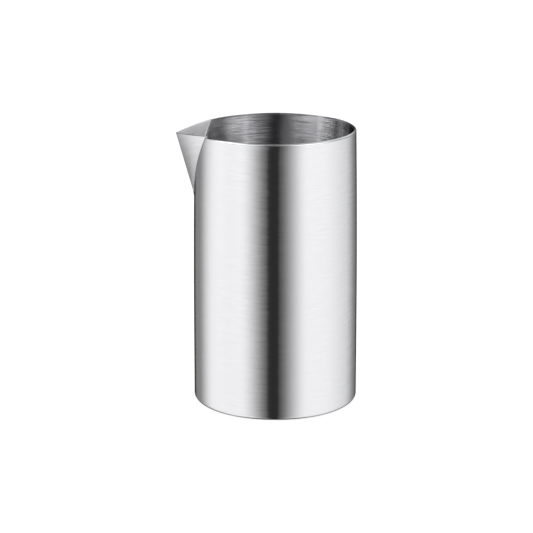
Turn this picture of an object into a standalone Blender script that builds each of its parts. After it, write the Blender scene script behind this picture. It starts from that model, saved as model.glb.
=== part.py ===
"""Double-walled steel mixing vessel with a folded V spout.

A necked outer shell and a drawn inner cup meet at a round lip. A V notch is cut through both walls, closed along
its two sides, and filled by a folded spout. A disc closes the turned-in foot. Nothing moves.

Units are metres, +Z is up, the axis of the body is the Z axis and the spout points along -X. The vessel stands on
the plane z = 0.
"""
import math

import bmesh
import bpy
from mathutils import Vector

MM = 0.001

# Body
BODY_DIAMETER = 86.0 * MM
BODY_HEIGHT = 145.0 * MM
OUTER_SHEET = 0.4 * MM
NECK_DEPTH = 1.15 * MM
STRAIGHT_HEIGHT = 23.9 * MM
FOOT_RADIUS = 2.2 * MM
FOOT_RING_WIDTH = 8.0 * MM

# Inner cup
INNER_SHEET = 0.4 * MM
CUP_DRAFT = 1.6 * MM
CUP_CORNER = 7.0 * MM
FLOOR_AIR_GAP = 5.0 * MM

# Lip and base
LIP_HEIGHT = 0.8 * MM
BASE_SHEET = 0.6 * MM
BASE_RECESS = 0.3 * MM
BASE_WELD_RADIUS = 0.2 * MM

# Spout and its notch, measured on the outside of the body
NOTCH_HALF_WIDTH = 24.7 * MM
NOTCH_DEPTH = 34.5 * MM
NOTCH_TOE = 0.5 * MM
NOTCH_WELD_WIDTH = 0.5 * MM
SPOUT_SHEET = 0.5 * MM
SPOUT_REACH = 8.6 * MM
SPOUT_TOE_RISE = 0.2 * MM
SPOUT_TIP_DROP = 2.6 * MM
SPOUT_CROWN = 0.7 * MM
SPOUT_FOLD_RADIUS = 1.1 * MM

# Gap between neighbouring pieces
JOINT_GAP = 0.3 * MM

# Finishes: name, colour, roughness
SATIN = ("satin_steel", (0.62, 0.62, 0.63), 0.30)
BRUSHED = ("brushed_liner_steel", (0.52, 0.52, 0.53), 0.36)
FOLDED = ("folded_spout_steel", (0.58, 0.58, 0.59), 0.32)
PLATE = ("base_plate_steel", (0.50, 0.50, 0.51), 0.40)
POLISHED = ("polished_weld_steel", (0.72, 0.72, 0.73), 0.18)

# How finely round surfaces are divided, and how much closer the lines lie near the fold
TURN_STEPS = 72
NECK_STEPS = 8
ARC_STEPS = 4
SEAM_STEPS = 12
WEDGE_STEPS = 10
SPOUT_STEPS = 14
FOLD_CROWDING = 1.5
RING_SIDES = 6
CUTTER_MARGIN = 1.2 * MM
MERGE_DISTANCE = 0.00001
SMOOTH_ANGLE = math.radians(35.0)

# Sizes that follow from the ones above
BODY_RADIUS = BODY_DIAMETER / 2
WALL_TOP = BODY_HEIGHT - LIP_HEIGHT - JOINT_GAP
NECK_LENGTH = WALL_TOP - STRAIGHT_HEIGHT
NECK_RADIUS = BODY_RADIUS - NECK_DEPTH
CUP_TOP_RADIUS = NECK_RADIUS - OUTER_SHEET - JOINT_GAP
CUP_FLOOR_RADIUS = CUP_TOP_RADIUS - CUP_DRAFT
BASE_TOP = BASE_RECESS + BASE_SHEET
CUP_BOTTOM = BASE_TOP + FLOOR_AIR_GAP
FOOT_RING_RADIUS = BODY_RADIUS - FOOT_RING_WIDTH
BASE_WELD_MIDDLE = FOOT_RING_RADIUS - JOINT_GAP - BASE_WELD_RADIUS
BASE_RADIUS = BASE_WELD_MIDDLE - BASE_WELD_RADIUS - JOINT_GAP
NOTCH_BOTTOM = BODY_HEIGHT - NOTCH_DEPTH
NOTCH_SLOPE = math.atan2(NOTCH_HALF_WIDTH, NOTCH_DEPTH)
WELD_START = JOINT_GAP
WELD_END = WELD_START + NOTCH_WELD_WIDTH
WALL_CUT = WELD_END + JOINT_GAP


def clear_scene():
    """Remove everything that a new file starts with."""
    for item in list(bpy.data.objects):
        bpy.data.objects.remove(item, do_unlink=True)


def make_collection(name):
    """Add a collection to the scene."""
    collection = bpy.data.collections.new(name)
    bpy.context.scene.collection.children.link(collection)
    return collection


def make_steel(name, colour, roughness):
    """Make a plain steel material."""
    material = bpy.data.materials.new(name)
    material.use_nodes = True
    shader = material.node_tree.nodes["Principled BSDF"]
    shader.inputs["Base Color"].default_value = (*colour, 1.0)
    shader.inputs["Metallic"].default_value = 1.0
    shader.inputs["Roughness"].default_value = roughness
    return material


def add_object(name, form, collection, material=None):
    """Turn a bmesh into a named object."""
    mesh = bpy.data.meshes.new(name)
    form.to_mesh(mesh)
    form.free()
    mesh.shade_smooth()
    mesh.set_sharp_from_angle(angle=SMOOTH_ANGLE)
    if material:
        mesh.materials.append(material)
    item = bpy.data.objects.new(name, mesh)
    collection.objects.link(item)
    return item


def as_cutter(item):
    """Keep a shape out of the model and use it for cuts only."""
    item.hide_render = True
    item.display_type = "WIRE"
    return item


def chain(points, closed=False):
    """Join (radius, height) points into a profile in the XZ plane."""
    form = bmesh.new()
    corners = [form.verts.new((radius, 0.0, height)) for radius, height in points]
    for first, second in zip(corners, corners[1:]):
        form.edges.new((first, second))
    if closed:
        form.edges.new((corners[-1], corners[0]))
    return form


def turn(item):
    """Spin a profile once round the Z axis."""
    screw = item.modifiers.new("Turn", "SCREW")
    screw.axis = "Z"
    screw.steps = TURN_STEPS
    screw.render_steps = TURN_STEPS
    screw.use_merge_vertices = True
    screw.merge_threshold = MERGE_DISTANCE
    screw.use_smooth_shade = True


def thicken(item, sheet):
    """Give an open surface its sheet thickness, away from its outer face."""
    solidify = item.modifiers.new("Sheet", "SOLIDIFY")
    solidify.thickness = sheet
    solidify.offset = -1.0
    solidify.use_even_offset = True


def cut(item, cutter):
    """Take a cutter away from a piece."""
    boolean = item.modifiers.new("Cut", "BOOLEAN")
    boolean.operation = "DIFFERENCE"
    boolean.solver = "EXACT"
    boolean.object = cutter


def arc(centre, radius, start, end, steps):
    """Points on an arc in the profile plane, with angles in degrees from +X."""
    points = []
    for step in range(steps + 1):
        angle = math.radians(start + (end - start) * step / steps)
        points.append((centre[0] + radius * math.cos(angle), centre[1] + radius * math.sin(angle)))
    return points


def shell_radius(height):
    """Outer radius of the body at a height: straight, then eased in under the lip."""
    rise = (height - STRAIGHT_HEIGHT) / NECK_LENGTH
    rise = min(max(rise, 0.0), 1.0)
    return BODY_RADIUS - NECK_DEPTH * rise * rise


def cup_radius(height):
    """Outer radius of the inner cup's wall at a height."""
    share = (WALL_TOP - height) / (WALL_TOP - CUP_BOTTOM - CUP_CORNER)
    return CUP_TOP_RADIUS - CUP_DRAFT * share


def seam_arc(height, offset):
    """Half width of the notch along the body's surface, with its sides moved out by an offset."""
    depth = BODY_HEIGHT - height
    return NOTCH_HALF_WIDTH * (1.0 - depth / NOTCH_DEPTH) + offset / math.cos(NOTCH_SLOPE)


def on_body(radius, arc_length, height):
    """Point at a radius, with its place round the body given as an arc length from the spout's plane."""
    angle = arc_length / BODY_RADIUS
    return Vector((-radius * math.cos(angle), radius * math.sin(angle), height))


def divided_block(wide_steps, high_steps):
    """Unit block from 0 to 1 on each axis, divided along Y and along Z."""
    form = bmesh.new()
    bmesh.ops.create_cube(form, size=1.0)
    bmesh.ops.translate(form, verts=form.verts, vec=(0.5, 0.5, 0.5))
    for axis, steps in ((1, wide_steps), (2, high_steps)):
        lengthwise = [edge for edge in form.edges if abs(edge.verts[0].co[axis] - edge.verts[1].co[axis]) > 0.5]
        bmesh.ops.subdivide_edges(form, edges=lengthwise, cuts=steps - 1, use_grid_fill=True)
    return form


def face_outward(form):
    """Point the faces of a reshaped form outward."""
    form.normal_update()
    bmesh.ops.recalc_face_normals(form, faces=form.faces)


def notch_wedge(name, offset, collection):
    """Cutter that opens the V notch through the walls, with radial sides."""
    inner = cup_radius(NOTCH_BOTTOM) - INNER_SHEET - CUTTER_MARGIN
    outer = BODY_RADIUS + CUTTER_MARGIN
    top = BODY_HEIGHT + CUTTER_MARGIN
    toe = NOTCH_TOE / math.cos(NOTCH_SLOPE)
    bottom = NOTCH_BOTTOM + (toe - seam_arc(NOTCH_BOTTOM, offset)) * NOTCH_DEPTH / NOTCH_HALF_WIDTH
    form = divided_block(WEDGE_STEPS, SEAM_STEPS)
    for corner in form.verts:
        height = bottom + (top - bottom) * corner.co.z
        half = seam_arc(height, offset)
        radius = outer + (inner - outer) * corner.co.x
        corner.co = on_body(radius, half * (1.0 - 2.0 * corner.co.y), height)
    face_outward(form)
    return as_cutter(add_object(name, form, collection))


def outer_shell(collection, material, notch):
    """Outer wall: neck, straight side, round foot edge and the flat ring that it stands on."""
    heights = [WALL_TOP - NECK_LENGTH * step / NECK_STEPS for step in range(NECK_STEPS + 1)]
    profile = [(shell_radius(height), height) for height in heights]
    profile += arc((BODY_RADIUS - FOOT_RADIUS, FOOT_RADIUS), FOOT_RADIUS, 0.0, -90.0, ARC_STEPS)
    profile.append((FOOT_RING_RADIUS, 0.0))
    item = add_object("outer_shell", chain(profile), collection, material)
    turn(item)
    thicken(item, OUTER_SHEET)
    cut(item, notch)


def inner_cup(collection, material, notch):
    """Liner: tapered wall, round corner and flat floor."""
    profile = [(CUP_TOP_RADIUS, WALL_TOP)]
    corner = (CUP_FLOOR_RADIUS - CUP_CORNER, CUP_BOTTOM + CUP_CORNER)
    profile += arc(corner, CUP_CORNER, 0.0, -90.0, ARC_STEPS)
    profile.append((0.0, CUP_BOTTOM))
    item = add_object("inner_cup", chain(profile), collection, material)
    turn(item)
    thicken(item, INNER_SHEET)
    cut(item, notch)


def base_plate(collection, material):
    """Disc that closes the foot, edge to edge with the turned-in ring and a little higher."""
    profile = [(0.0, BASE_TOP), (BASE_RADIUS, BASE_TOP)]
    profile += [(BASE_RADIUS, BASE_RECESS), (0.0, BASE_RECESS)]
    turn(add_object("base_plate", chain(profile), collection, material))


def base_weld(collection, material):
    """Ring run between the edge of the foot ring and the edge of the base plate."""
    centre = (BASE_WELD_MIDDLE, BASE_RECESS + BASE_WELD_RADIUS)
    profile = arc(centre, BASE_WELD_RADIUS, 0.0, -360.0, RING_SIDES)[:-1]
    turn(add_object("base_weld", chain(profile, closed=True), collection, material))


def lip_weld(collection, material, notch):
    """Bead with a round top over the edges of both walls."""
    inside = CUP_TOP_RADIUS - INNER_SHEET
    half = (NECK_RADIUS - inside) / 2
    profile = arc((inside + half, BODY_HEIGHT - half), half, 180.0, 0.0, RING_SIDES)
    profile += [(NECK_RADIUS, WALL_TOP + JOINT_GAP), (inside, WALL_TOP + JOINT_GAP)]
    item = add_object("lip_weld", chain(profile, closed=True), collection, material)
    turn(item)
    cut(item, notch)


def notch_weld(name, side, collection, material):
    """Run that closes the cut double wall along one side of the notch."""
    form = divided_block(1, SEAM_STEPS)
    for corner in form.verts:
        height = NOTCH_BOTTOM + NOTCH_DEPTH * corner.co.z
        arc_length = seam_arc(height, WELD_START + (WELD_END - WELD_START) * corner.co.y)
        inside = cup_radius(height) - INNER_SHEET
        radius = inside + (shell_radius(height) - inside) * corner.co.x
        corner.co = on_body(radius, side * arc_length, height)
    face_outward(form)
    add_object(name, form, collection, material)


def spout_point(across, along):
    """Point on the spout's outer face.

    across runs from -1 at one side of the notch, over the fold at 0, to 1 at the other side; along runs from 0 at
    the bottom of the notch to 1 at the top edge.
    """
    height = NOTCH_BOTTOM + NOTCH_DEPTH * along
    seam = on_body(shell_radius(height), seam_arc(height, 0.0), height)
    toe = shell_radius(NOTCH_BOTTOM) + SPOUT_TOE_RISE
    tip = BODY_RADIUS + SPOUT_REACH
    fold = Vector((-toe - (tip - toe) * along, 0.0, height - SPOUT_TIP_DROP * along))
    softness = SPOUT_FOLD_RADIUS * (seam.x - fold.x) / (seam.y * seam.y)
    softness = min(softness, 1.0)
    share = (math.hypot(across, softness) - softness) / (math.hypot(1.0, softness) - softness)
    point = fold.lerp(seam, share)
    point.y = seam.y * across
    outward = Vector((fold.y - seam.y, seam.x - fold.x, 0.0)).normalized()
    crown = SPOUT_CROWN * along * math.sin(math.pi * share)
    point.x += outward.x * crown
    point.y += math.copysign(outward.y * crown, across)
    return point


def spout(collection, material):
    """Folded sheet that fills the notch and ends in a pouring tip."""
    toe = NOTCH_TOE / NOTCH_HALF_WIDTH
    form = bmesh.new()
    bmesh.ops.create_grid(form, x_segments=SPOUT_STEPS, y_segments=SEAM_STEPS, size=1.0)
    for corner in form.verts:
        across = -math.copysign(abs(corner.co.x) ** FOLD_CROWDING, corner.co.x)
        along = toe + (1.0 - toe) * (corner.co.y + 1.0) / 2
        corner.co = spout_point(across, along)
    thicken(add_object("spout", form, collection, material), SPOUT_SHEET)


def main():
    """Build every piece."""
    clear_scene()
    vessel = make_collection("mixing_vessel")
    cutters = make_collection("cutters")
    polished = make_steel(*POLISHED)
    notch = notch_wedge("notch_cutter", WALL_CUT, cutters)
    outer_shell(vessel, make_steel(*SATIN), notch)
    inner_cup(vessel, make_steel(*BRUSHED), notch)
    base_plate(vessel, make_steel(*PLATE))
    base_weld(vessel, polished)
    lip_weld(vessel, polished, notch)
    notch_weld("notch_weld_front", -1.0, vessel, polished)
    notch_weld("notch_weld_back", 1.0, vessel, polished)
    spout(vessel, make_steel(*FOLDED))


main()
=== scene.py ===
"""Looks of a double-walled steel mixing vessel with a folded V spout.

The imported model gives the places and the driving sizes. Every piece is rebuilt here as a fine closed mesh,
dressed in a brushed or ground steel, and shown in a white studio tent with soft dark flags and softboxes.

Units are metres, +Z is up, the body's axis is the Z axis and the spout points along -X.
"""
import logging
import math
from collections.abc import Sequence
from dataclasses import dataclass, field
from enum import Enum
from typing import Any

import bmesh
import bpy
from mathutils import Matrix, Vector


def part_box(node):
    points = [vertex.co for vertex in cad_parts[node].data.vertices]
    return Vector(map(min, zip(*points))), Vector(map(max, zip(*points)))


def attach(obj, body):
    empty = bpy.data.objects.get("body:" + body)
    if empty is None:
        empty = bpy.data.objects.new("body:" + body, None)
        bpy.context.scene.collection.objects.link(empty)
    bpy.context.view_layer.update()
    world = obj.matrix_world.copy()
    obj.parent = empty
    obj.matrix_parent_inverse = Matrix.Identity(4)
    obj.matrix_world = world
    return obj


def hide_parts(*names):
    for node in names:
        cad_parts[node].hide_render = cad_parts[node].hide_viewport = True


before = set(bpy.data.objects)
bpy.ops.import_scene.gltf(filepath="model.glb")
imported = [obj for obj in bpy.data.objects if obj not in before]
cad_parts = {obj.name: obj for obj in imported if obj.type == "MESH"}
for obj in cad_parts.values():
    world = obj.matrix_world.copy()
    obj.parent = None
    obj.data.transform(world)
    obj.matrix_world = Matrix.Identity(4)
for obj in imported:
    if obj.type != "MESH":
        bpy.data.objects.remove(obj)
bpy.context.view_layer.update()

MM = 0.001
BODY = "root"
MERGE_DISTANCE = 1e-7
SHARP_ANGLE = math.radians(38.0)

# Blender's noise lies about 0.5 with this typical deviation.
NOISE_MIDDLE = 0.5
NOISE_DEVIATION = 0.13
NOISE_ROUGHNESS = 0.6

# Hairlines of a fine belt, at their real size: too fine to see one by one, they only spread the reflections.
HAIR_PITCH = 0.06 * MM
HAIR_LENGTH = 15.0 * MM
HAIR_DETAIL = 0.0
STREAK_DETAIL = 2.0

MATH = "ShaderNodeMath"
VECTOR_MATH = "ShaderNodeVectorMath"
MAP_RANGE = "ShaderNodeMapRange"
WHITE = (1.0, 1.0, 1.0, 1.0)

Profile = list[tuple[float, float]]
Grid = list[list[Vector]]
Socket = bpy.types.NodeSocket
log = logging.getLogger("mixing_vessel")


class Slot(Enum):
    """Material slots of the record."""

    SATIN = "satin_steel"
    LINER = "brushed_liner_steel"
    SPOUT = "spout_steel"
    BASE = "base_steel"
    EDGE = "polished_edge_steel"


def linear_colour(code: str) -> tuple[float, float, float, float]:
    """Turn an sRGB hex colour into linear values.

    Args:
        code: Colour of six hex digits, without a mark before it.

    Returns:
        Linear red, green, blue and an alpha of 1.
    """
    shares = [int(code[place:place + 2], 16) / 255 for place in (0, 2, 4)]
    linear = [share / 12.92 if share <= 0.04045 else ((share + 0.055) / 1.055) ** 2.4 for share in shares]
    return (*linear, 1.0)


def add_node(
    tree: bpy.types.NodeTree,
    kind: str,
    settings: dict[str, Any],
    inputs: dict[Any, Any],
) -> bpy.types.Node:
    """Add a node with its settings, and fill or link its inputs.

    Args:
        tree: Node tree that gets the node.
        kind: Blender's name of the node type.
        settings: Properties of the node.
        inputs: Value or output socket for each input, by name or index.

    Returns:
        The new node.
    """
    node = tree.nodes.new(kind)
    for name, value in settings.items():
        setattr(node, name, value)
    for key, value in inputs.items():
        if isinstance(value, Socket):
            tree.links.new(value, node.inputs[key])
        else:
            node.inputs[key].default_value = value
    return node


def smooth_step(share: float) -> float:
    """Ease a share from 0 to 1 with level ends."""
    share = min(max(share, 0.0), 1.0)
    return share * share * (3.0 - 2.0 * share)


def spread(start: float, end: float, steps: int) -> list[float]:
    """Evenly spaced values from start to end, both included."""
    return [start + (end - start) * step / steps for step in range(steps + 1)]


def arc(centre: tuple[float, float], radius: float, start: float, end: float, steps: int) -> Profile:
    """Points on an arc in the plane of radius and height.

    Args:
        centre: Radius and height of the arc's centre.
        radius: Radius of the arc.
        start: First angle in degrees, from the outward direction towards up.
        end: Last angle in degrees.
        steps: Number of chords.

    Returns:
        The points, both ends included.
    """
    angles = [math.radians(angle) for angle in spread(start, end, steps)]
    return [(centre[0] + radius * math.cos(angle), centre[1] + radius * math.sin(angle)) for angle in angles]


def sheet_object(name: str, outer: Grid, inner: Grid) -> bpy.types.Object:
    """Build a closed sheet from its two faces.

    Both grids have the same rows and columns. Rows whose two ends meet are welded into rings, and every other
    edge of the sheet is closed with a strip.

    Args:
        name: Name of the object.
        outer: Rows of points on the outer face.
        inner: Rows of points on the inner face.

    Returns:
        The new object, shaded smooth with sharp edges kept.
    """
    form = bmesh.new()
    front, back = [[[form.verts.new(point) for point in row] for row in grid] for grid in (outer, inner)]
    rows = len(outer)
    columns = len(outer[0])
    for face in (front, back):
        for low, high in zip(face, face[1:]):
            for place in range(columns - 1):
                form.faces.new((low[place], low[place + 1], high[place + 1], high[place]))
    for row in (0, rows - 1):
        near = front[row]
        far = back[row]
        for place in range(columns - 1):
            form.faces.new((near[place], near[place + 1], far[place + 1], far[place]))
    for row in range(rows - 1):
        breaks = [(outer[edge][0] - outer[edge][-1]).length for edge in (row, row + 1)]
        if max(breaks) <= MERGE_DISTANCE:
            continue
        for place in (0, columns - 1):
            form.faces.new((front[row][place], front[row + 1][place], back[row + 1][place], back[row][place]))
    bmesh.ops.remove_doubles(form, verts=form.verts, dist=MERGE_DISTANCE)
    bmesh.ops.dissolve_degenerate(form, edges=form.edges, dist=MERGE_DISTANCE)
    loose = [edge for edge in form.edges if not edge.link_faces]
    bmesh.ops.delete(form, geom=loose, context="EDGES")
    bmesh.ops.recalc_face_normals(form, faces=form.faces)
    mesh = bpy.data.meshes.new(name)
    form.to_mesh(mesh)
    form.free()
    mesh.shade_smooth()
    mesh.set_sharp_from_angle(angle=SHARP_ANGLE)
    item = bpy.data.objects.new(name, mesh)
    bpy.context.scene.collection.objects.link(item)
    return item


@dataclass(frozen=True)
class VesselSizes:
    """Sizes of the vessel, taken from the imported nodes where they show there.

    Attributes:
        body_radius: Outer radius of the straight part of the wall.
        wall_top: Height of both walls' cut edges under the lip.
        top: Height of the lip.
        neck_radius: Outer radius under the lip.
        cup_top_radius: Outer radius of the liner at its top.
        cup_bottom: Height of the liner's underside.
        base_radius: Radius of the base plate.
        base_bottom: Height of the base plate's underside.
        base_top: Height of the base plate's upper side.
        notch_bottom: Height of the bottom of the V notch.
        spout_reach: Distance of the spout's tip from the wall.
        neck_length: Height of the part of the wall that draws in.
        outer_sheet: Thickness of the outer wall.
        inner_sheet: Thickness of the liner.
        foot_radius: Outer radius of the bend at the foot.
        foot_ring_width: Distance from the wall to the inner edge of the turned-in ring.
        cup_draft: Distance that the liner draws in from its top to its corner.
        cup_corner: Outer radius of the liner's corner.
        notch_half_width: Half width of the notch at the lip, along the surface.
        wall_cut: Distance of the walls' cut edges from the notch's seam.
        spout_sheet: Thickness of the spout.
        spout_toe_rise: Distance that the fold stands off the wall at the bottom of the notch.
        spout_tip_drop: Distance of the tip under the lip.
        spout_crown: Bulge of each side of the spout at the top.
        spout_fold_radius: Outer radius of the fold.
        lip_roll: Height of the lip's round outside.
        lip_edge: Radius of the lip's broken inner edge.
        lip_fall: Slope at which the lip starts to fall outward.
    """

    body_radius: float
    wall_top: float
    top: float
    neck_radius: float
    cup_top_radius: float
    cup_bottom: float
    base_radius: float
    base_bottom: float
    base_top: float
    notch_bottom: float
    spout_reach: float
    neck_length: float = 120.0 * MM
    outer_sheet: float = 0.4 * MM
    inner_sheet: float = 0.4 * MM
    foot_radius: float = 2.2 * MM
    foot_ring_width: float = 8.0 * MM
    cup_draft: float = 1.6 * MM
    cup_corner: float = 7.0 * MM
    notch_half_width: float = 24.7 * MM
    wall_cut: float = 1.1 * MM
    spout_sheet: float = 0.5 * MM
    spout_toe_rise: float = 0.2 * MM
    spout_tip_drop: float = 2.6 * MM
    spout_crown: float = 0.7 * MM
    spout_fold_radius: float = 1.1 * MM
    lip_roll: float = 0.9 * MM
    lip_edge: float = 0.15 * MM
    lip_fall: float = math.tan(math.radians(25.0))

    @classmethod
    def from_frame(cls) -> "VesselSizes":
        """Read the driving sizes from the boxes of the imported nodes.

        Returns:
            The sizes.
        """
        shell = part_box("outer_shell")[1]
        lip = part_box("lip_weld")[1]
        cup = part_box("inner_cup")
        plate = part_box("base_plate")
        return cls(
            body_radius=shell.x,
            wall_top=shell.z,
            top=lip.z,
            neck_radius=lip.x,
            cup_top_radius=cup[1].x,
            cup_bottom=cup[0].z,
            base_radius=plate[1].x,
            base_bottom=plate[0].z,
            base_top=plate[1].z,
            notch_bottom=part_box("notch_weld_front")[0].z,
            spout_reach=-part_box("spout")[0].x - shell.x,
        )

    @property
    def notch_depth(self) -> float:
        """Depth of the notch under the lip."""
        return self.top - self.notch_bottom

    @property
    def seam_slope(self) -> float:
        """Angle between a side of the notch and the vertical."""
        return math.atan2(self.notch_half_width, self.notch_depth)

    @property
    def neck_foot(self) -> float:
        """Height at which the wall starts to draw in."""
        return self.wall_top - self.neck_length

    @property
    def ring_radius(self) -> float:
        """Inner radius of the turned-in ring at the foot."""
        return self.body_radius - self.foot_ring_width

    def shell_radius(self, height: float) -> float:
        """Outer radius of the body: straight, then eased in under the lip.

        Args:
            height: Height over the foot.

        Returns:
            The radius.
        """
        rise = (height - self.neck_foot) / self.neck_length
        rise = min(max(rise, 0.0), 1.0)
        return self.body_radius - (self.body_radius - self.neck_radius) * rise * rise

    def cup_radius(self, height: float) -> float:
        """Radius of the liner's inner face at a height of its wall."""
        share = (self.wall_top - height) / (self.wall_top - self.cup_bottom - self.cup_corner)
        return self.cup_top_radius - self.cup_draft * share - self.inner_sheet

    def seam_arc(self, height: float, offset: float) -> float:
        """Half width of the notch along the body's surface, with its sides moved out by an offset."""
        width = self.notch_half_width * (1.0 - (self.top - height) / self.notch_depth)
        return width + offset / math.cos(self.seam_slope)

    def shut_offset(self, height: float) -> float:
        """Offset at which the two sides of the notch meet at a height."""
        return -self.seam_arc(height, 0.0) * math.cos(self.seam_slope)

    def seam_foot(self, offset: float) -> float:
        """Height at which the two sides of the notch, moved out by an offset, meet."""
        width = self.seam_arc(self.notch_bottom, offset)
        return self.notch_bottom - width * self.notch_depth / self.notch_half_width

    def inner_setback(self, height: float) -> float:
        """Distance that the broken inner edge of the lip stands back at a height."""
        rise = min(max(height - self.top + self.lip_edge, 0.0), self.lip_edge)
        return self.lip_edge - math.sqrt(self.lip_edge * self.lip_edge - rise * rise)

    def outer_setback(self, height: float) -> float:
        """Distance that the lip stands back outside: it falls outward and rolls into the wall.

        The lip's outside is a parabola that leaves the inner edge at the slope of the fall and meets the wall
        upright.

        Args:
            height: Height over the foot.

        Returns:
            The distance from the wall's outer face.
        """
        width = self.neck_radius - self.cup_radius(self.wall_top) - self.lip_edge
        fall = width * self.lip_fall
        drop = min(max(self.top - height, 0.0), self.lip_roll)
        share = drop / (fall + math.sqrt(fall * fall + (self.lip_roll - 2.0 * fall) * drop))
        return width * (1.0 - share) ** 2

    def on_body(self, radius: float, arc_length: float, height: float) -> Vector:
        """Point at a radius, with its place round the body as an arc length from the spout's plane."""
        angle = arc_length / self.body_radius
        return Vector((-radius * math.cos(angle), radius * math.sin(angle), height))


@dataclass(frozen=True)
class BrushedSteel:
    """Stainless steel with brush lines that run round the body.

    Fine hairlines tilt the surface up and down, so lights show as tall soft bands. Coarser streaks lie over
    them: they stand for the deeper lines, which are too fine to show, and are drawn as coarse as they need.

    Attributes:
        name: Name of the material.
        colour: Reflection colour as sRGB hex.
        roughness: Roughness left between the lines.
        anisotropy: How much wider reflections spread across the lines than along them.
        hair_tilt: Typical tilt of the hairlines in degrees.
        streak_pitch: Distance between streaks in millimetres.
        streak_length: Length of a streak in millimetres.
        streak_tilt: Typical tilt of the streaks in degrees.
        streak_tone: Typical share by which the streaks lighten and darken the steel.
        streak_swing: Typical turn of the streaks round the body in degrees.
        hair_lean: Mean tilt of the hairlines in degrees, towards the mouth inside the vessel.
        grazing: Share of the reflection that is left at grazing angles.
    """

    name: str
    colour: str
    roughness: float
    anisotropy: float
    hair_tilt: float
    streak_pitch: float
    streak_length: float
    streak_tilt: float
    streak_tone: float
    streak_swing: float = 0.0
    hair_lean: float = 0.0
    grazing: float = 1.0

    def material(self, radius: float) -> bpy.types.Material:
        """Make the material, or find it where another piece has it already.

        Args:
            radius: Radius of the body, which turns line lengths into angles.

        Returns:
            The material.
        """
        known = bpy.data.materials.get(self.name)
        if known:
            return known
        material = bpy.data.materials.new(self.name)
        material.use_nodes = True
        tree = material.node_tree
        tree.nodes.clear()
        place = add_node(tree, "ShaderNodeTexCoord", {}, {}).outputs["Object"]
        normal = add_node(tree, "ShaderNodeNewGeometry", {}, {}).outputs["Normal"]
        level = {0: place, 1: (1.0, 1.0, 0.0)}
        flat = add_node(tree, VECTOR_MATH, {"operation": "MULTIPLY"}, level).outputs[0]
        outward = add_node(tree, VECTOR_MATH, {"operation": "NORMALIZE"}, {0: flat}).outputs[0]
        upright = {0: outward, 1: (0.0, 0.0, 1.0)}
        around = add_node(tree, VECTOR_MATH, {"operation": "CROSS_PRODUCT"}, upright).outputs[0]
        both = {0: normal, 1: around}
        across = add_node(tree, VECTOR_MATH, {"operation": "CROSS_PRODUCT"}, both).outputs[0]
        spot = self.unrolled(tree, place, flat, outward)
        hair = self.lines(tree, spot, (radius / HAIR_LENGTH, 1.0 / HAIR_PITCH), HAIR_DETAIL)
        scales = (radius / (self.streak_length * MM), 1.0 / (self.streak_pitch * MM))
        streak = self.lines(tree, spot, scales, STREAK_DETAIL)
        shade = {0: streak, 1: self.streak_tone, 2: 1.0}
        tone = add_node(tree, MATH, {"operation": "MULTIPLY_ADD"}, shade).outputs[0]
        steel = {0: linear_colour(self.colour)[:3], "Scale": tone}
        colour = add_node(tree, VECTOR_MATH, {"operation": "SCALE"}, steel).outputs[0]
        shader = add_node(
            tree,
            "ShaderNodeBsdfPrincipled",
            {},
            {
                "Base Color": colour,
                "Metallic": 1.0,
                "Roughness": self.roughness,
                "Anisotropic": self.anisotropy,
                "Specular Tint": (self.grazing, self.grazing, self.grazing, 1.0),
                "Tangent": across,
                "Normal": self.brushed(tree, normal, (across, around), (hair, streak)),
            },
        )
        add_node(tree, "ShaderNodeOutputMaterial", {}, {"Surface": shader.outputs[0]})
        return material

    @staticmethod
    def unrolled(tree: bpy.types.NodeTree, place: Socket, flat: Socket, outward: Socket) -> Socket:
        """Place on the surface for the lines: the direction from the axis, and the way up the profile.

        Args:
            tree: Node tree of the material.
            place: Point on the piece.
            flat: The same point without its height.
            outward: Direction of the point from the axis.

        Returns:
            The direction as X and Y, and radius plus height as Z.
        """
        reach = add_node(tree, VECTOR_MATH, {"operation": "LENGTH"}, {0: flat}).outputs["Value"]
        height = add_node(tree, "ShaderNodeSeparateXYZ", {}, {0: place}).outputs["Z"]
        run = add_node(tree, MATH, {"operation": "ADD"}, {0: reach, 1: height}).outputs[0]
        turn = add_node(tree, "ShaderNodeSeparateXYZ", {}, {0: outward}).outputs
        spot = {0: turn["X"], 1: turn["Y"], 2: run}
        return add_node(tree, "ShaderNodeCombineXYZ", {}, spot).outputs[0]

    @staticmethod
    def lines(
        tree: bpy.types.NodeTree,
        spot: Socket,
        scales: tuple[float, float],
        detail: float,
    ) -> Socket:
        """Noise stretched into lines round the body.

        Args:
            tree: Node tree of the material.
            spot: Place on the surface.
            scales: Scale of the noise along the lines and across them.
            detail: Number of finer layers of noise.

        Returns:
            A value with a middle of 0 and a typical size of 1.
        """
        along, over = scales
        stretch = {0: spot, 1: (along, along, over)}
        stretched = add_node(tree, VECTOR_MATH, {"operation": "MULTIPLY"}, stretch).outputs[0]
        grain = {"Vector": stretched, "Scale": 1.0, "Detail": detail, "Roughness": NOISE_ROUGHNESS}
        noise = add_node(tree, "ShaderNodeTexNoise", {"noise_dimensions": "3D"}, grain).outputs[0]
        limits = {
            "Value": noise,
            "From Min": NOISE_MIDDLE - NOISE_DEVIATION,
            "From Max": NOISE_MIDDLE + NOISE_DEVIATION,
            "To Min": -1.0,
            "To Max": 1.0,
        }
        return add_node(tree, MAP_RANGE, {"clamp": False}, limits).outputs[0]

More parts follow.
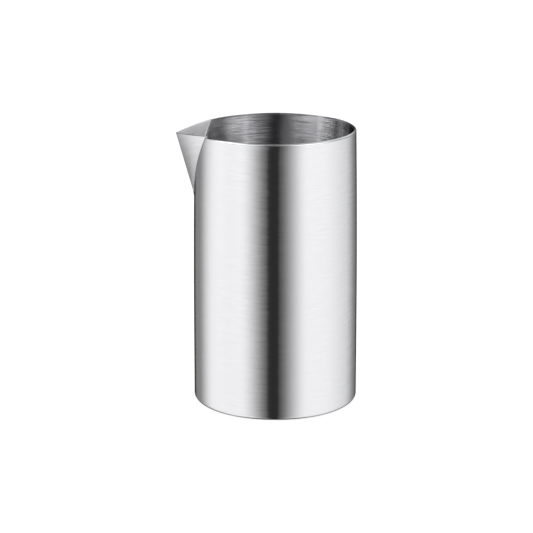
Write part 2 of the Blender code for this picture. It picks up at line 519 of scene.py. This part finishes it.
    def brushed(
        self,
        tree: bpy.types.NodeTree,
        normal: Socket,
        directions: tuple[Socket, Socket],
        lines: tuple[Socket, Socket],
    ) -> Socket:
        """Normal of the surface, tilted by the lines.

        Args:
            tree: Node tree of the material.
            normal: Normal of the mesh.
            directions: Directions across the lines and round the body.
            lines: Hairlines and streaks.

        Returns:
            The tilted normal.
        """
        across, around = directions
        hair, streak = lines
        tilts = (self.hair_tilt, self.streak_tilt, self.streak_swing, self.hair_lean)
        hair_slope, streak_slope, swing_slope, lean = [math.tan(math.radians(tilt)) for tilt in tilts]
        coarse = {0: streak, 1: streak_slope, 2: lean}
        coarse_slope = add_node(tree, MATH, {"operation": "MULTIPLY_ADD"}, coarse).outputs[0]
        fine = {0: hair, 1: hair_slope, 2: coarse_slope}
        slope = add_node(tree, MATH, {"operation": "MULTIPLY_ADD"}, fine).outputs[0]
        tilt = add_node(tree, VECTOR_MATH, {"operation": "SCALE"}, {0: across, "Scale": slope}).outputs[0]
        swing = add_node(tree, MATH, {"operation": "MULTIPLY"}, {0: streak, 1: swing_slope}).outputs[0]
        turn = add_node(tree, VECTOR_MATH, {"operation": "SCALE"}, {0: around, "Scale": swing}).outputs[0]
        moved = add_node(tree, VECTOR_MATH, {"operation": "ADD"}, {0: tilt, 1: turn}).outputs[0]
        leaning = add_node(tree, VECTOR_MATH, {"operation": "ADD"}, {0: normal, 1: moved}).outputs[0]
        return add_node(tree, VECTOR_MATH, {"operation": "NORMALIZE"}, {0: leaning}).outputs[0]


@dataclass
class Assembly:
    """A group of pieces that share the vessel's sizes."""

    sizes: VesselSizes
    pieces: list[bpy.types.Object] = field(default_factory=list)

    def build(self) -> None:
        """Build the pieces, in a way that each group gives."""
        raise NotImplementedError

    def add(self, name: str, outer: Grid, inner: Grid, slot: Slot) -> None:
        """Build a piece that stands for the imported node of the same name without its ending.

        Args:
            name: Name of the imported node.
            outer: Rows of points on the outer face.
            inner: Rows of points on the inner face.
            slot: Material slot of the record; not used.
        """
        piece = sheet_object(name + "_fine", outer, inner)
        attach(piece, BODY)
        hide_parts(name)
        self.pieces.append(piece)
        log.info("%s: %d faces", piece.name, len(piece.data.polygons))

    def dress(self, steel: BrushedSteel) -> None:
        """Give every piece of the group one steel.

        Args:
            steel: Finish of the pieces.
        """
        material = steel.material(self.sizes.body_radius)
        for piece in self.pieces:
            piece.data.materials.clear()
            piece.data.materials.append(material)

    def turned(self, profile: Profile, columns: int, offset: float | None = None) -> Grid:
        """Spin a profile round the axis, from one side of the notch to the other.

        Args:
            profile: Radius and height of each row.
            columns: Number of faces round the axis.
            offset: Distance of the cut from the seam, or None for a full ring.

        Returns:
            A row of points for each point of the profile.
        """
        grid = []
        for radius, height in profile:
            half = 0.0 if offset is None else max(self.sizes.seam_arc(height, offset), 0.0)
            ends = half, math.tau * self.sizes.body_radius - half
            grid.append([self.sizes.on_body(radius, place, height) for place in spread(*ends, columns)])
        return grid


@dataclass
class OuterShell(Assembly):
    """Outer wall: necked under the lip, round at the foot and turned in to a flat ring."""

    columns: int = 288
    neck_rows: int = 40
    wall_rows: int = 4
    foot_rows: int = 12
    ring_rows: int = 3

    def build(self) -> None:
        """Build the wall with its notch."""
        sizes = self.sizes
        heights = spread(sizes.wall_top, sizes.neck_foot, self.neck_rows)
        heights.append(sizes.seam_foot(sizes.wall_cut))
        heights.sort(reverse=True)
        heights += spread(sizes.neck_foot, sizes.foot_radius, self.wall_rows)[1:-1]
        bend = (sizes.body_radius - sizes.foot_radius, sizes.foot_radius)
        ring = spread(bend[0], sizes.ring_radius, self.ring_rows)[1:]
        faces = []
        for skin in (0.0, sizes.outer_sheet):
            profile = [(sizes.shell_radius(height) - skin, height) for height in heights]
            profile += arc(bend, sizes.foot_radius - skin, 0.0, -90.0, self.foot_rows)
            profile += [(radius, skin) for radius in ring]
            faces.append(self.turned(profile, self.columns, sizes.wall_cut))
        self.add("outer_shell", *faces, Slot.SATIN)


@dataclass
class InnerCup(Assembly):
    """Liner: slightly tapered wall, round corner and flat floor."""

    columns: int = 256
    notch_rows: int = 18
    wall_rows: int = 12
    corner_rows: int = 14
    floor_rows: int = 6

    def build(self) -> None:
        """Build the liner with its notch."""
        sizes = self.sizes
        toe = sizes.seam_foot(sizes.wall_cut)
        corner_top = sizes.cup_bottom + sizes.cup_corner
        heights = spread(sizes.wall_top, toe, self.notch_rows)
        heights += spread(toe, corner_top, self.wall_rows)[1:-1]
        floor_radius = sizes.cup_top_radius - sizes.cup_draft - sizes.cup_corner
        bend = (floor_radius, corner_top)
        sheet = sizes.inner_sheet
        faces = []
        for skin in (sheet, 0.0):
            profile = [(sizes.cup_radius(height) + skin, height) for height in heights]
            profile += arc(bend, sizes.cup_corner - sheet + skin, 0.0, -90.0, self.corner_rows)
            level = sizes.cup_bottom + sheet - skin
            profile += [(radius, level) for radius in spread(floor_radius, 0.0, self.floor_rows)[1:]]
            faces.append(self.turned(profile, self.columns, sizes.wall_cut))
        self.add("inner_cup", *faces, Slot.LINER)


@dataclass
class BasePlate(Assembly):
    """Plate that closes the foot, turned and broken at its edge."""

    columns: int = 192
    rows: int = 6
    bevel: float = 0.12 * MM

    def build(self) -> None:
        """Build the plate."""
        sizes = self.sizes
        edge = sizes.base_radius
        radii = spread(0.0, edge - self.bevel, self.rows)
        faces = []
        for level, inward in ((sizes.base_bottom, self.bevel), (sizes.base_top, -self.bevel)):
            profile = [(radius, level) for radius in radii] + [(edge, level + inward)]
            faces.append(self.turned(profile, self.columns))
        self.add("base_plate", *faces, Slot.BASE)


@dataclass
class BaseWeld(Assembly):
    """Ring run that joins the base plate to the foot ring."""

    columns: int = 192
    rows: int = 8
    overlap: float = 0.06 * MM
    lift: float = 0.1 * MM
    sag: float = 0.12 * MM

    def build(self) -> None:
        """Build the run."""
        sizes = self.sizes
        inside = sizes.base_radius - self.overlap
        outside = sizes.ring_radius + self.overlap
        under = []
        over = []
        for share in spread(0.0, 1.0, self.rows):
            radius = inside + (outside - inside) * share
            level = sizes.base_bottom + (sizes.outer_sheet / 2 - sizes.base_bottom) * share + self.lift
            under.append((radius, level - self.sag * math.sin(math.pi * share)))
            over.append((radius, sizes.outer_sheet + self.lift))
        faces = [self.turned(profile, self.columns) for profile in (under, over)]
        self.add("base_weld", *faces, Slot.EDGE)


@dataclass
class Lip(Assembly):
    """Edge over both walls, from one side of the notch to the other: broken inside and rolled outside."""

    columns: int = 288
    bead_rows: int = 10

    def build(self) -> None:
        """Build the edge."""
        sizes = self.sizes
        inside = sizes.cup_radius(sizes.wall_top)
        edge = sizes.lip_edge
        rolling = sizes.top - sizes.lip_roll
        heights = [*spread(sizes.top, rolling, self.bead_rows), sizes.wall_top]
        outer = [(sizes.neck_radius - sizes.outer_setback(height), height) for height in heights]
        inner = arc((inside + edge, sizes.top - edge), edge, 90.0, 180.0, self.bead_rows - 1)
        inner += [(inside, height) for height in (rolling, sizes.wall_top)]
        faces = [self.turned(profile, self.columns, sizes.wall_cut) for profile in (outer, inner)]
        self.add("lip_weld", *faces, Slot.EDGE)


@dataclass
class NotchSeams(Assembly):
    """Runs that close the cut double wall along both sides of the notch, ground flush but for a raised toe.

    Attributes:
        rows: Number of faces up a run, under the lip.
        crown_rows: Number of faces up its end beside the lip.
        columns: Number of faces across a run.
        tuck: Distance that a run reaches under the pieces on both of its sides.
        sink: Depth of a run under their faces there.
        shoulder_start: Distance from the seam at which the inner face leaves the back of the spout.
        shoulder_end: Distance from the seam at which it reaches the liner.
        toe_height: Height of the raised toe.
        toe_length: Length of the toe, up from the bottom of the notch.
        toe_taper: Length over which the toe rises from the foot of the run.
    """

    rows: int = 48
    crown_rows: int = 8
    columns: int = 14
    tuck: float = 0.25 * MM
    sink: float = 0.08 * MM
    shoulder_start: float = 0.35 * MM
    shoulder_end: float = 0.85 * MM
    toe_height: float = 0.6 * MM
    toe_length: float = 10.0 * MM
    toe_taper: float = 4.0 * MM

    def build(self) -> None:
        """Build the run on each side."""
        for name, side in (("notch_weld_front", -1.0), ("notch_weld_back", 1.0)):
            self.add(name, *self.faces(side), Slot.EDGE)

    def radii(self, height: float, offset: float, toe: float) -> tuple[float, float]:
        """Radius of the outer and of the inner face at one place of a run.

        Args:
            height: Height over the foot.
            offset: Distance from the seam.
            toe: Height of the raised toe here.

        Returns:
            Both radii.
        """
        sizes = self.sizes
        share = offset / sizes.wall_cut
        buried = max(-share, share - 1.0, 0.0) * sizes.wall_cut / self.tuck
        skin = sizes.shell_radius(height) - self.sink * buried
        skin += toe * math.sin(math.pi * min(max(share, 0.0), 1.0))
        liner = sizes.cup_radius(height) + self.sink * buried
        shoulder = sizes.shell_radius(height) - sizes.spout_sheet + self.sink
        rise = (offset - self.shoulder_start) / (self.shoulder_end - self.shoulder_start)
        lining = shoulder + (liner - shoulder) * smooth_step(rise)
        full = sizes.neck_radius - sizes.cup_radius(sizes.wall_top)
        thin = min((skin - lining) / full, 1.0)
        return skin - sizes.outer_setback(height) * thin, lining + sizes.inner_setback(height) * thin

    def faces(self, side: float) -> tuple[Grid, Grid]:
        """Points on the outer and inner face of one run.

        Args:
            side: -1 for the front run, 1 for the back run.

        Returns:
            The outer and the inner grid.
        """
        sizes = self.sizes
        end = sizes.wall_cut + self.tuck
        roll = sizes.lip_roll
        rolling = sizes.top - roll
        heights = spread(sizes.seam_foot(end), rolling, self.rows)
        crown = spread(0.0, math.pi / 2, self.crown_rows)[1:]
        heights += [rolling + roll * math.sin(angle) for angle in crown]
        outer: Grid = []
        inner: Grid = []
        for height in heights:
            toe = self.toe_height * smooth_step(1.0 - (height - sizes.notch_bottom) / self.toe_length)
            toe *= smooth_step((height - heights[0]) / self.toe_taper)
            start = min(max(-self.tuck, sizes.shut_offset(height)), end)
            near: list[Vector] = []
            far: list[Vector] = []
            for offset in spread(start, end, self.columns):
                place = side * max(sizes.seam_arc(height, offset), 0.0)
                skin, lining = self.radii(height, offset, toe)
                near.append(sizes.on_body(skin, place, height))
                far.append(sizes.on_body(lining, place, height))
            outer.append(near)
            inner.append(far)
        return outer, inner


@dataclass
class Spout(Assembly):
    """Folded sheet that fills the notch and ends in a pouring tip.

    Attributes:
        rows: Number of faces up the sheet.
        edge_rows: Number of faces on each half of the rounded top edge.
        columns: Number of faces across the sheet.
        crowding: Power that draws the columns together at the fold.
        toe: Half width of the sheet at the bottom of the notch.
        toe_share: Share of the notch's depth over which the inner face takes up the fold.
        probe: Step that finds the sheet's directions.
    """

    rows: int = 40
    edge_rows: int = 6
    columns: int = 96
    crowding: float = 1.6
    toe: float = 0.1 * MM
    toe_share: float = 0.12
    probe: float = 1e-4

    def outer_point(self, across: float, along: float) -> Vector:
        """Point on the outer face.

        Args:
            across: -1 at one side of the notch, 0 at the fold and 1 at the other side.
            along: 0 at the bottom of the notch and 1 at the top edge.

        Returns:
            The point.
        """
        sizes = self.sizes
        height = sizes.notch_bottom + sizes.notch_depth * along
        seam = sizes.on_body(sizes.shell_radius(height), sizes.seam_arc(height, 0.0), height)
        drop = sizes.spout_tip_drop * along
        toe = sizes.shell_radius(sizes.notch_bottom) + sizes.spout_toe_rise
        tip = sizes.body_radius + sizes.spout_reach
        fold = Vector((-toe - (tip - toe) * along, 0.0, height - drop))
        softness = min(sizes.spout_fold_radius * (seam.x - fold.x) / (seam.y * seam.y), 1.0)
        share = (math.hypot(across, softness) - softness) / (math.hypot(1.0, softness) - softness)
        point = fold.lerp(seam, share)
        point.y = seam.y * across
        outward = Vector((fold.y - seam.y, seam.x - fold.x, 0.0)).normalized()
        crown = sizes.spout_crown * along * math.sin(math.pi * share)
        point.x += outward.x * crown
        point.y += math.copysign(outward.y * crown, across)
        return point

    def frame_at(self, across: float, along: float) -> tuple[Vector, Vector, Vector]:
        """Point on the outer face with two directions of the sheet there.

        Args:
            across: -1 at one side of the notch, 0 at the fold and 1 at the other side.
            along: 0 at the bottom of the notch and 1 at the top edge.

        Returns:
            The point, the outward direction and the upward direction.
        """
        step = self.probe
        sideways = self.outer_point(across + step, along) - self.outer_point(across - step, along)
        upward = self.outer_point(across, along + step) - self.outer_point(across, along - step)
        outward = upward.cross(sideways).normalized()
        return self.outer_point(across, along), outward, sideways.cross(outward).normalized()

    def build(self) -> None:
        """Build the sheet with a rounded top edge."""
        sheet = self.sizes.spout_sheet
        half = sheet / 2
        first = self.toe / self.sizes.notch_half_width
        last = 1.0 - half / self.sizes.notch_depth
        even = spread(-1.0, 1.0, self.columns)
        places = [math.copysign(abs(place) ** self.crowding, place) for place in even]
        outer: Grid = []
        inner: Grid = []
        for along in spread(first, last, self.rows):
            # Straight back at the narrow toe, where the fold is tighter than the sheet is thick.
            straight = self.frame_at(0.0, along)[1]
            turning = smooth_step((along - first) / self.toe_share)
            near: list[Vector] = []
            far: list[Vector] = []
            for place in places:
                point, outward, _ = self.frame_at(place, along)
                near.append(point)
                far.append(point - straight.lerp(outward, turning).normalized() * sheet)
            outer.append(near)
            inner.append(far)
        brink = [self.frame_at(place, last) for place in places]
        for angle in spread(0.0, math.pi / 2, self.edge_rows)[1:]:
            near = []
            far = []
            for point, outward, upward in brink:
                middle = point - outward * half + upward * half * math.sin(angle)
                near.append(middle + outward * half * math.cos(angle))
                far.append(middle - outward * half * math.cos(angle))
            outer.append(near)
            inner.append(far)
        self.add("spout", outer, inner, Slot.SPOUT)


# Cold-rolled stainless steel, finished with a fine belt round the body: even tall bands, hardly any lines.
SATIN_BELT_STEEL = BrushedSteel(
    name="satin_belt_brushed_stainless",
    colour="EDEDEF",
    roughness=0.15,
    anisotropy=1.0,
    hair_tilt=2.5,
    streak_pitch=0.35,
    streak_length=10.0,
    streak_tilt=0.0,
    streak_tone=0.016,
    streak_swing=0.35,
)

# Drawn stainless steel, brushed with a coarse pad on a lathe: darker, with uneven streaks round the inside.
PAD_BRUSHED_STEEL = BrushedSteel(
    name="pad_brushed_drawn_stainless",
    colour="BCBCBE",
    roughness=0.20,
    anisotropy=1.0,
    hair_tilt=3.0,
    streak_pitch=0.45,
    streak_length=9.0,
    streak_tilt=1.4,
    streak_tone=0.05,
    streak_swing=1.0,
    hair_lean=4.0,
    grazing=0.3,
)

# Folded stainless sheet with the mill's brushed face: pale and soft, with a few broad streaks.
FOLDED_STEEL = BrushedSteel(
    name="mill_brushed_stainless_sheet",
    colour="F4F4F6",
    roughness=0.30,
    anisotropy=0.6,
    hair_tilt=5.0,
    streak_pitch=1.2,
    streak_length=16.0,
    streak_tilt=1.0,
    streak_tone=0.02,
)

# Stainless disc faced on a lathe: fine rings round its middle.
FACED_STEEL = BrushedSteel(
    name="lathe_faced_stainless_disc",
    colour="DDDCDF",
    roughness=0.30,
    anisotropy=0.8,
    hair_tilt=6.0,
    streak_pitch=0.5,
    streak_length=60.0,
    streak_tilt=2.0,
    streak_tone=0.03,
)

# Weld metal ground flush with a fine wheel: a little darker and duller than the walls beside it.
GROUND_WELD_STEEL = BrushedSteel(
    name="ground_stainless_weld",
    colour="C6C6C8",
    roughness=0.26,
    anisotropy=0.4,
    hair_tilt=4.0,
    streak_pitch=0.8,
    streak_length=8.0,
    streak_tilt=0.5,
    streak_tone=0.01,
)

# Weld metal ground and buffed: a clear bright edge with little texture.
BUFFED_WELD_STEEL = BrushedSteel(
    name="buffed_stainless_weld",
    colour="DADADC",
    roughness=0.22,
    anisotropy=0.0,
    hair_tilt=1.0,
    streak_pitch=0.8,
    streak_length=8.0,
    streak_tilt=0.5,
    streak_tone=0.01,
)


@dataclass(frozen=True)
class Panel:
    """Panel of the tent that metal shows as a band: a dark flag or a bright softbox.

    Attributes:
        middle: Direction of its middle in degrees, from the camera towards +X.
        inner: Angle from the middle at which its soft edge starts, in degrees.
        outer: Angle from the middle at which its soft edge ends, in degrees.
        level: Brightness of the panel, where the tent is 1.
        foot: Elevation in degrees at which its soft lower edge ends, or None for a panel without one.
        top: Elevation in degrees at which its soft upper edge ends, or None for a panel without one.
        fade: Width of the soft lower and upper edges in degrees.
    """

    middle: float
    inner: float
    outer: float
    level: float
    foot: float | None = None
    top: float | None = None
    fade: float = 25.0


@dataclass(frozen=True)
class Band:
    """Change of the tent's brightness with elevation.

    Attributes:
        start: Elevation in degrees at which the change starts.
        end: Elevation in degrees at which it ends.
        below: Factor on the brightness under the change.
        above: Factor on the brightness over the change.
    """

    start: float
    end: float
    below: float
    above: float


# Flags on the camera's side: the dark band down the middle of the wall, with its firm core.
CAMERA_FLAGS = (
    Panel(-3.5, 7.0, 8.5, 0.48, top=14.0, fade=12.0),
    Panel(-1.9, 2.5, 50.0, 0.055),
)

# Flags behind the object: the grey to dark edges of the wall and of the spout.
REAR_FLAGS = (
    Panel(184.0, 9.0, 27.0, 0.17),
    Panel(180.5, 20.5, 24.0, 0.15, top=6.0, fade=10.0),
    Panel(-172.0, 35.0, 72.0, 0.29, top=30.0),
    Panel(159.0, 20.0, 86.0, 0.7, top=30.0),
)

# Flags and softboxes that start near the horizon or over it: the bands inside the mouth.
MOUTH_PANELS = (
    Panel(-138.0, 34.0, 44.0, 0.06, foot=-6.0, top=55.0, fade=10.0),
    Panel(114.0, 12.0, 38.0, 0.55, foot=6.0, top=50.0, fade=10.0),
    Panel(-20.0, 6.0, 12.0, 0.8, foot=0.0, top=60.0, fade=8.0),
    Panel(19.0, 9.5, 12.5, 0.68, foot=0.0, top=60.0, fade=8.0),
    Panel(-62.0, 30.0, 52.0, 2.0, foot=3.0, top=70.0, fade=10.0),
    Panel(44.0, 24.0, 49.0, 2.2, foot=3.0, top=70.0, fade=10.0),
    Panel(-90.0, 6.0, 16.0, 2.3, foot=8.0, top=70.0, fade=10.0),
    Panel(-71.0, 3.0, 12.0, 0.5, foot=8.0, top=70.0, fade=10.0),
)

# The tent is darker straight under the object and overhead.
TENT_BANDS = (
    Band(-85.0, -60.0, 0.2, 1.0),
    Band(50.0, 80.0, 1.0, 0.5),
)


@dataclass
class Studio:
    """White tent with dark flags and softboxes, a pale floor, a soft overhead lamp and the camera.

    Attributes:
        panels: Flags and softboxes of the tent.
        bands: Changes of the tent's brightness with elevation.
        floor_half: Half width of the floor.
        floor_drop: Distance of the floor under the foot.
        floor_colour: Colour of the floor's paper as sRGB hex.
        floor_glow: Share of plain white in the floor that the camera sees.
        lamp_angle: Angle in degrees over which the overhead lamp spreads.
        lamp_strength: Strength of the overhead lamp.
        lens: Focal length of the camera in millimetres.
        camera_reach: Level distance of the camera from the body's axis.
        camera_side: Sideways distance of the camera from the body's axis.
        camera_height: Height of the camera over the foot.
        camera_pitch: Angle in degrees at which the camera looks down.
        camera_turn: Angle in degrees of the camera round the body, from -Y towards +X.
    """

    panels: Sequence[Panel] = CAMERA_FLAGS + REAR_FLAGS + MOUTH_PANELS
    bands: Sequence[Band] = TENT_BANDS
    floor_half: float = 3.0
    floor_drop: float = 0.2 * MM
    floor_colour: str = "FAFAFA"
    floor_glow: float = 0.8
    lamp_angle: float = 80.0
    lamp_strength: float = 2.4
    lens: float = 143.0
    camera_reach: float = 1.0746
    camera_side: float = -0.00465
    camera_height: float = 0.3633
    camera_pitch: float = 15.227
    camera_turn: float = 1.3

    def build(self) -> None:
        """Set up everything round the object."""
        self.build_tent()
        self.build_floor()
        self.build_lamp()
        self.build_camera()
        bpy.context.scene.view_settings.view_transform = "Standard"

    def build_tent(self) -> None:
        """Light the scene from a white tent with flags and softboxes, plain white to the camera itself."""
        world = bpy.data.worlds.new("studio_tent")
        bpy.context.scene.world = world
        world.use_nodes = True
        tree = world.node_tree
        tree.nodes.clear()
        sight = add_node(tree, "ShaderNodeTexCoord", {}, {}).outputs["Generated"]
        parts = add_node(tree, "ShaderNodeSeparateXYZ", {}, {0: sight}).outputs
        ahead = add_node(tree, MATH, {"operation": "MULTIPLY"}, {0: parts["Y"], 1: -1.0}).outputs[0]
        azimuth = add_node(tree, MATH, {"operation": "ARCTAN2"}, {0: parts["X"], 1: ahead}).outputs[0]
        rise = parts["Z"]
        factors = []
        for band in self.bands:
            factors.append(self.eased(tree, rise, band.start, band.end, band.below, band.above))
        for panel in self.panels:
            factors.append(self.panel_factor(tree, panel, azimuth, rise))
        light: Socket | float = 1.0
        for factor in factors:
            light = add_node(tree, MATH, {"operation": "MULTIPLY"}, {0: light, 1: factor}).outputs[0]
        path = add_node(tree, "ShaderNodeLightPath", {}, {}).outputs
        seen = {0: path["Is Camera Ray"], 1: path["Is Transmission Ray"]}
        plain = add_node(tree, MATH, {"operation": "MAXIMUM"}, seen).outputs[0]
        either = {0: plain, 2: light, 3: 1.0}
        strength = add_node(tree, "ShaderNodeMix", {"data_type": "FLOAT"}, either).outputs[0]
        glow = {"Color": WHITE, "Strength": strength}
        cloth = add_node(tree, "ShaderNodeBackground", {}, glow).outputs[0]
        add_node(tree, "ShaderNodeOutputWorld", {}, {"Surface": cloth})

    @staticmethod
    def eased(
        tree: bpy.types.NodeTree,
        rise: Socket,
        low: float,
        high: float,
        below: float,
        above: float,
    ) -> Socket:
        """Value that eases from one level to another between two elevations.

        Args:
            tree: Node tree of the tent.
            rise: Height of the viewing direction, as the sine of its elevation.
            low: Elevation in degrees at which the change starts.
            high: Elevation in degrees at which it ends.
            below: Level under the change.
            above: Level over the change.

        Returns:
            The value.
        """
        limits = {
            "Value": rise,
            "From Min": math.sin(math.radians(low)),
            "From Max": math.sin(math.radians(high)),
            "To Min": below,
            "To Max": above,
        }
        return add_node(tree, MAP_RANGE, {"interpolation_type": "SMOOTHSTEP"}, limits).outputs[0]

    def panel_factor(self, tree: bpy.types.NodeTree, panel: Panel, azimuth: Socket, rise: Socket) -> Socket:
        """Factor of one panel on the tent's brightness.

        Args:
            tree: Node tree of the tent.
            panel: The panel.
            azimuth: Direction of view round the object, from -Y towards +X.
            rise: Height of the viewing direction, as the sine of its elevation.

        Returns:
            The panel's level inside its edges and 1 outside.
        """
        middle = math.radians(self.camera_turn + panel.middle)
        turned = add_node(tree, MATH, {"operation": "SUBTRACT"}, {0: azimuth, 1: middle}).outputs[0]
        circle = {0: turned, 1: math.pi, 2: -math.pi}
        wrapped = add_node(tree, MATH, {"operation": "WRAP"}, circle).outputs[0]
        away = add_node(tree, MATH, {"operation": "ABSOLUTE"}, {0: wrapped}).outputs[0]
        limits = {
            "Value": away,
            "From Min": math.radians(panel.inner),
            "From Max": math.radians(panel.outer),
            "To Min": panel.level,
            "To Max": 1.0,
        }
        shade = add_node(tree, MAP_RANGE, {"interpolation_type": "SMOOTHSTEP"}, limits).outputs[0]
        edges = []
        if panel.foot is not None:
            edges.append((panel.foot, panel.foot + panel.fade, 1.0, 0.0))
        if panel.top is not None:
            edges.append((panel.top - panel.fade, panel.top, 0.0, 1.0))
        for edge in edges:
            beyond = self.eased(tree, rise, *edge)
            either = {0: beyond, 2: shade, 3: 1.0}
            shade = add_node(tree, "ShaderNodeMix", {"data_type": "FLOAT"}, either).outputs[0]
        return shade

    def build_floor(self) -> None:
        """Lay a pale paper floor that keeps the object's shadow, and through which metal sees the tent."""
        mesh = bpy.data.meshes.new("floor")
        half = self.floor_half
        level = -self.floor_drop
        corners = [(-half, -half, level), (half, -half, level), (half, half, level), (-half, half, level)]
        mesh.from_pydata(corners, [], [(0, 1, 2, 3)])
        floor = bpy.data.objects.new("floor", mesh)
        bpy.context.scene.collection.objects.link(floor)
        floor.visible_glossy = False
        # Matt white paper, lit past its own shade: pale, with only the soft contact shadow left on it.
        material = bpy.data.materials.new("matt_paper_floor")
        material.use_nodes = True
        tree = material.node_tree
        tree.nodes.clear()
        matt = {"Color": linear_colour(self.floor_colour)}
        paper = add_node(tree, "ShaderNodeBsdfDiffuse", {}, matt).outputs[0]
        glow = add_node(tree, "ShaderNodeEmission", {}, {"Color": WHITE, "Strength": 1.0}).outputs[0]
        seen = add_node(tree, "ShaderNodeLightPath", {}, {}).outputs["Is Camera Ray"]
        share = add_node(tree, MATH, {"operation": "MULTIPLY"}, {0: seen, 1: self.floor_glow}).outputs[0]
        both = add_node(tree, "ShaderNodeMixShader", {}, {0: share, 1: paper, 2: glow}).outputs[0]
        add_node(tree, "ShaderNodeOutputMaterial", {}, {"Surface": both})
        mesh.materials.append(material)

    def build_lamp(self) -> None:
        """Hang a wide soft lamp over the object, for the shadow on the floor."""
        data = bpy.data.lights.new("overhead_softbox", "SUN")
        data.angle = math.radians(self.lamp_angle)
        data.energy = self.lamp_strength
        lamp = bpy.data.objects.new("overhead_softbox", data)
        lamp.visible_glossy = False
        bpy.context.scene.collection.objects.link(lamp)

    def build_camera(self) -> None:
        """Set the camera at the photograph's viewing angle."""
        data = bpy.data.cameras.new("camera")
        data.lens = self.lens
        camera = bpy.data.objects.new("camera", data)
        turn = math.radians(self.camera_turn)
        camera.location = (
            self.camera_side * math.cos(turn) + self.camera_reach * math.sin(turn),
            self.camera_side * math.sin(turn) - self.camera_reach * math.cos(turn),
            self.camera_height,
        )
        camera.rotation_euler = (math.radians(90.0 - self.camera_pitch), 0.0, turn)
        bpy.context.scene.collection.objects.link(camera)
        bpy.context.scene.camera = camera


def main() -> None:
    """Build and dress every piece, then the studio."""
    logging.basicConfig(level=logging.INFO, format="%(message)s")
    sizes = VesselSizes.from_frame()
    finishes = {
        OuterShell: SATIN_BELT_STEEL,
        InnerCup: PAD_BRUSHED_STEEL,
        BasePlate: FACED_STEEL,
        BaseWeld: BUFFED_WELD_STEEL,
        Lip: BUFFED_WELD_STEEL,
        NotchSeams: GROUND_WELD_STEEL,
        Spout: FOLDED_STEEL,
    }
    for kind, steel in finishes.items():
        group = kind(sizes)
        group.build()
        group.dress(steel)
    Studio().build()


if __name__ == "__main__":
    main()
